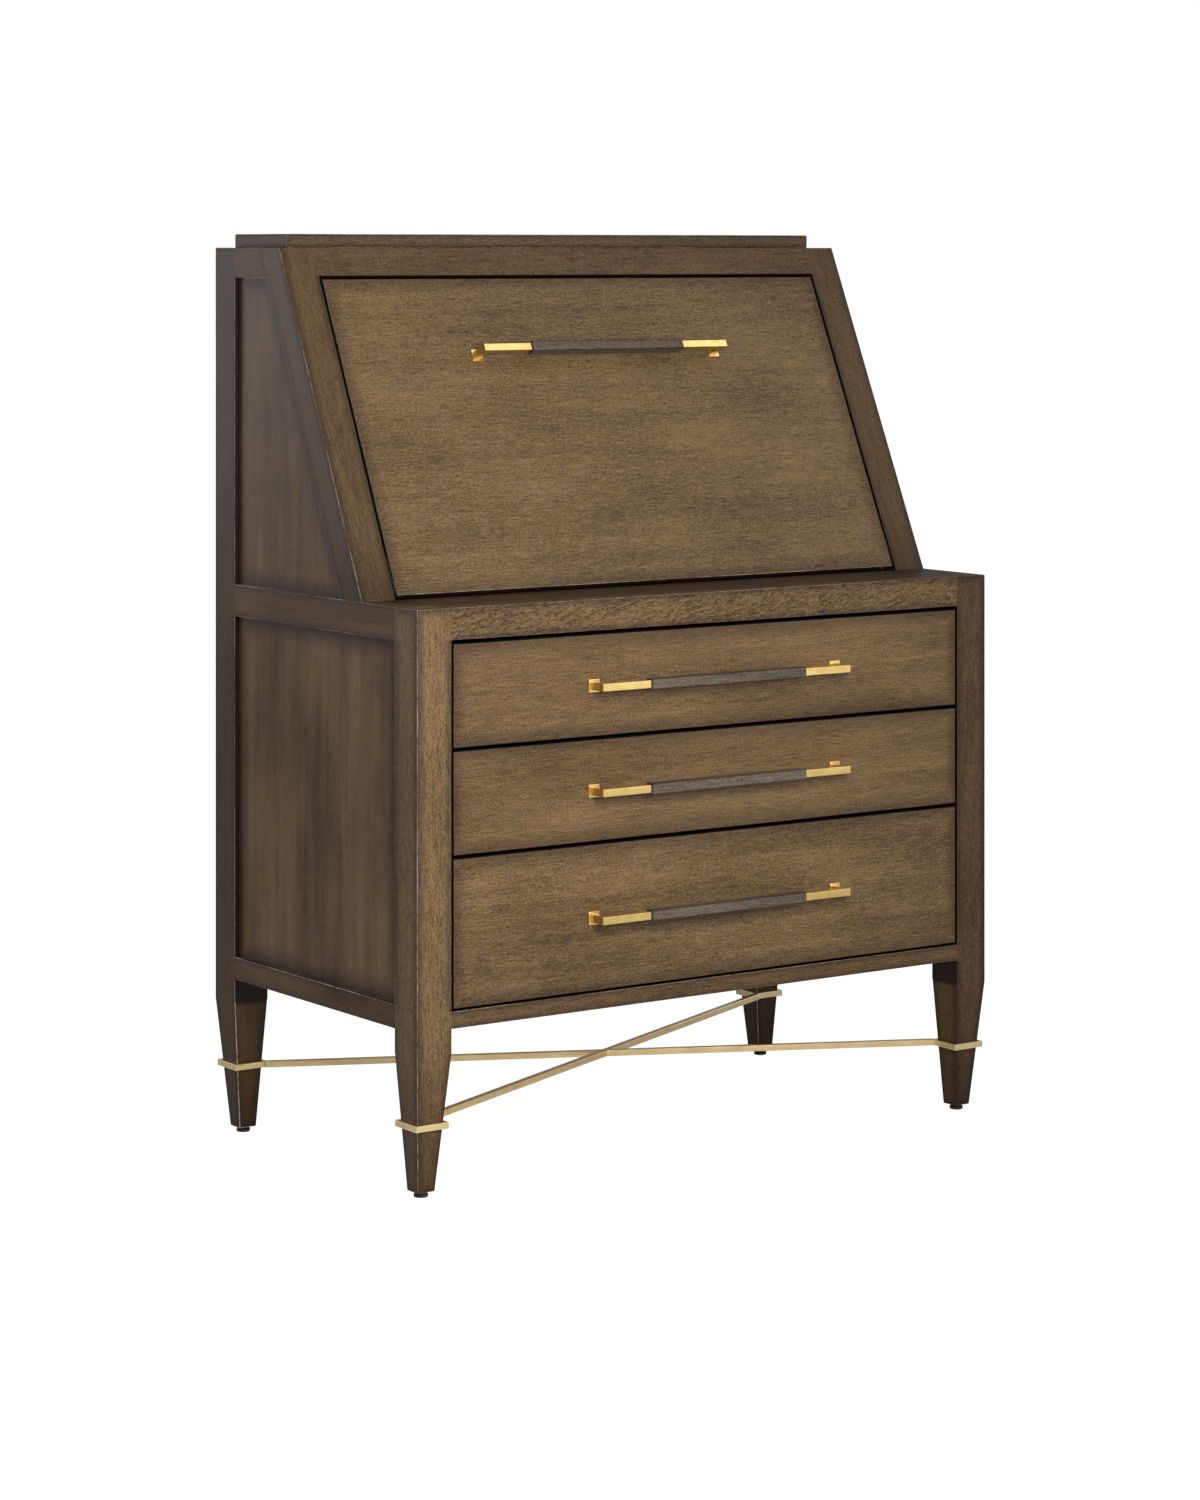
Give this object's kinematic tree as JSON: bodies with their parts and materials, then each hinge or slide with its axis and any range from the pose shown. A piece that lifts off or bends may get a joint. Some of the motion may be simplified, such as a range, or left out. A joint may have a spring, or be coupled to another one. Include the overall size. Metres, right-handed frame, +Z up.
{
  "type": "secretary desk",
  "caption": "Secretary desk with a slanted fall front over a three-drawer base on tapered legs, with long brass and wood handles and a crossed brass stretcher.",
  "frame": {"origin": "on the floor, at the middle of the overall box (handles included)", "axes": "+Z up, +X to the desk's right-hand side seen from the front, the front faces -Y"},
  "size_m": [0.914, 0.534, 1.192],
  "materials": {
    "case_wood": "warm mid-brown stain with dark pores, burnished darker towards edges, satin lacquer",
    "interior_wood": "same stain, satin lacquer, inside the writing compartment",
    "drawer_wood": "clear lacquered light wood of the drawer boxes",
    "grip_wood": "grey-brown stained wood, satin",
    "satin_brass": "satin gold brass",
    "pale_brass": "pale champagne brass, satin",
    "stay_brass": "satin brass",
    "blackened_steel": "blackened steel, satin",
    "slide_steel": "zinc plated sheet steel",
    "glide_plastic": "black matt plastic"
  },
  "bodies": {
    "root": {"back_panels": "case_wood", "back_rails": "case_wood", "bottom_board": "drawer_wood", "cap_board": "case_wood", "case_top_board": "case_wood", "desk_floor": "interior_wood", "front_rail_bottom": "case_wood", "front_rail_top": "case_wood", "hinge_bushes": "blackened_steel", "ledge_board": "case_wood", "leg_collars": "pale_brass", "leg_glides": "glide_plastic", "organizer_dividers": "interior_wood", "organizer_shelf": "interior_wood", "organizer_sides": "interior_wood", "organizer_top": "interior_wood", "post_front_left": "case_wood", "post_front_right": "case_wood", "post_rear_left": "case_wood", "post_rear_right": "case_wood", "side_linings": "interior_wood", "side_panels_left": "case_wood", "side_panels_right": "case_wood", "side_rails_left": "case_wood", "side_rails_right": "case_wood", "slant_stile_left": "case_wood", "slant_stile_right": "case_wood", "slant_top_rail": "case_wood", "slide_channels": "slide_steel", "slide_cleats": "drawer_wood", "stay_anchors": "stay_brass", "stretcher_bars": "pale_brass"},
    "fall_front": {"door_panel": "case_wood", "door_handle_bar": "satin_brass", "door_handle_grip": "grip_wood", "door_hinges": "blackened_steel", "stay_brackets": "stay_brass"},
    "stay_arms": {"stay_arms": "stay_brass"},
    "stay_links": {"stay_links": "stay_brass"},
    "drawer_top": {"drawer_top_front": "case_wood", "drawer_top_box": "drawer_wood", "drawer_top_rails": "slide_steel", "drawer_top_handle_bar": "satin_brass", "drawer_top_handle_grip": "grip_wood"},
    "drawer_middle": {"drawer_middle_front": "case_wood", "drawer_middle_box": "drawer_wood", "drawer_middle_rails": "slide_steel", "drawer_middle_handle_bar": "satin_brass", "drawer_middle_handle_grip": "grip_wood"},
    "drawer_bottom": {"drawer_bottom_front": "case_wood", "drawer_bottom_box": "drawer_wood", "drawer_bottom_rails": "slide_steel", "drawer_bottom_handle_bar": "satin_brass", "drawer_bottom_handle_grip": "grip_wood"},
    "small_drawer_left": {"small_drawer_left_front": "interior_wood", "small_drawer_left_box": "drawer_wood", "small_drawer_left_knob": "satin_brass"},
    "small_drawer_right": {"small_drawer_right_front": "interior_wood", "small_drawer_right_box": "drawer_wood", "small_drawer_right_knob": "satin_brass"}
  },
  "joints": [
    {"name": "fall_front", "type": "hinge", "parent": "root", "child": "fall_front", "pos_m": [0, -0.09452, 0.741], "axis": [1, 0, 0], "range_deg": [0, 114.73]},
    {"name": "stay_arm_swing", "type": "hinge", "parent": "root", "child": "stay_arms", "pos_m": [0, 0.0604, 0.86528], "axis": [1, 0, 0], "range_deg": [0, 122.39]},
    {"name": "stay_link_swing", "type": "hinge", "parent": "fall_front", "child": "stay_links", "pos_m": [0, 0.01468, 0.90825], "axis": [1, 0, 0], "range_deg": [-128.28, 0]},
    {"name": "drawer_top_slide", "type": "slide", "parent": "root", "child": "drawer_top", "axis": [0, -1, 0], "range_m": [0, 0.33]},
    {"name": "drawer_middle_slide", "type": "slide", "parent": "root", "child": "drawer_middle", "axis": [0, -1, 0], "range_m": [0, 0.33]},
    {"name": "drawer_bottom_slide", "type": "slide", "parent": "root", "child": "drawer_bottom", "axis": [0, -1, 0], "range_m": [0, 0.33]},
    {"name": "small_drawer_left_slide", "type": "slide", "parent": "root", "child": "small_drawer_left", "axis": [0, -1, 0], "range_m": [0, 0.09]},
    {"name": "small_drawer_right_slide", "type": "slide", "parent": "root", "child": "small_drawer_right", "axis": [0, -1, 0], "range_m": [0, 0.09]}
  ],
  "couplings": [
    {"joint": "stay_arm_swing", "follows": "fall_front", "ratio": 1.0663},
    {"joint": "stay_link_swing", "follows": "fall_front", "ratio": -1.1176}
  ]
}
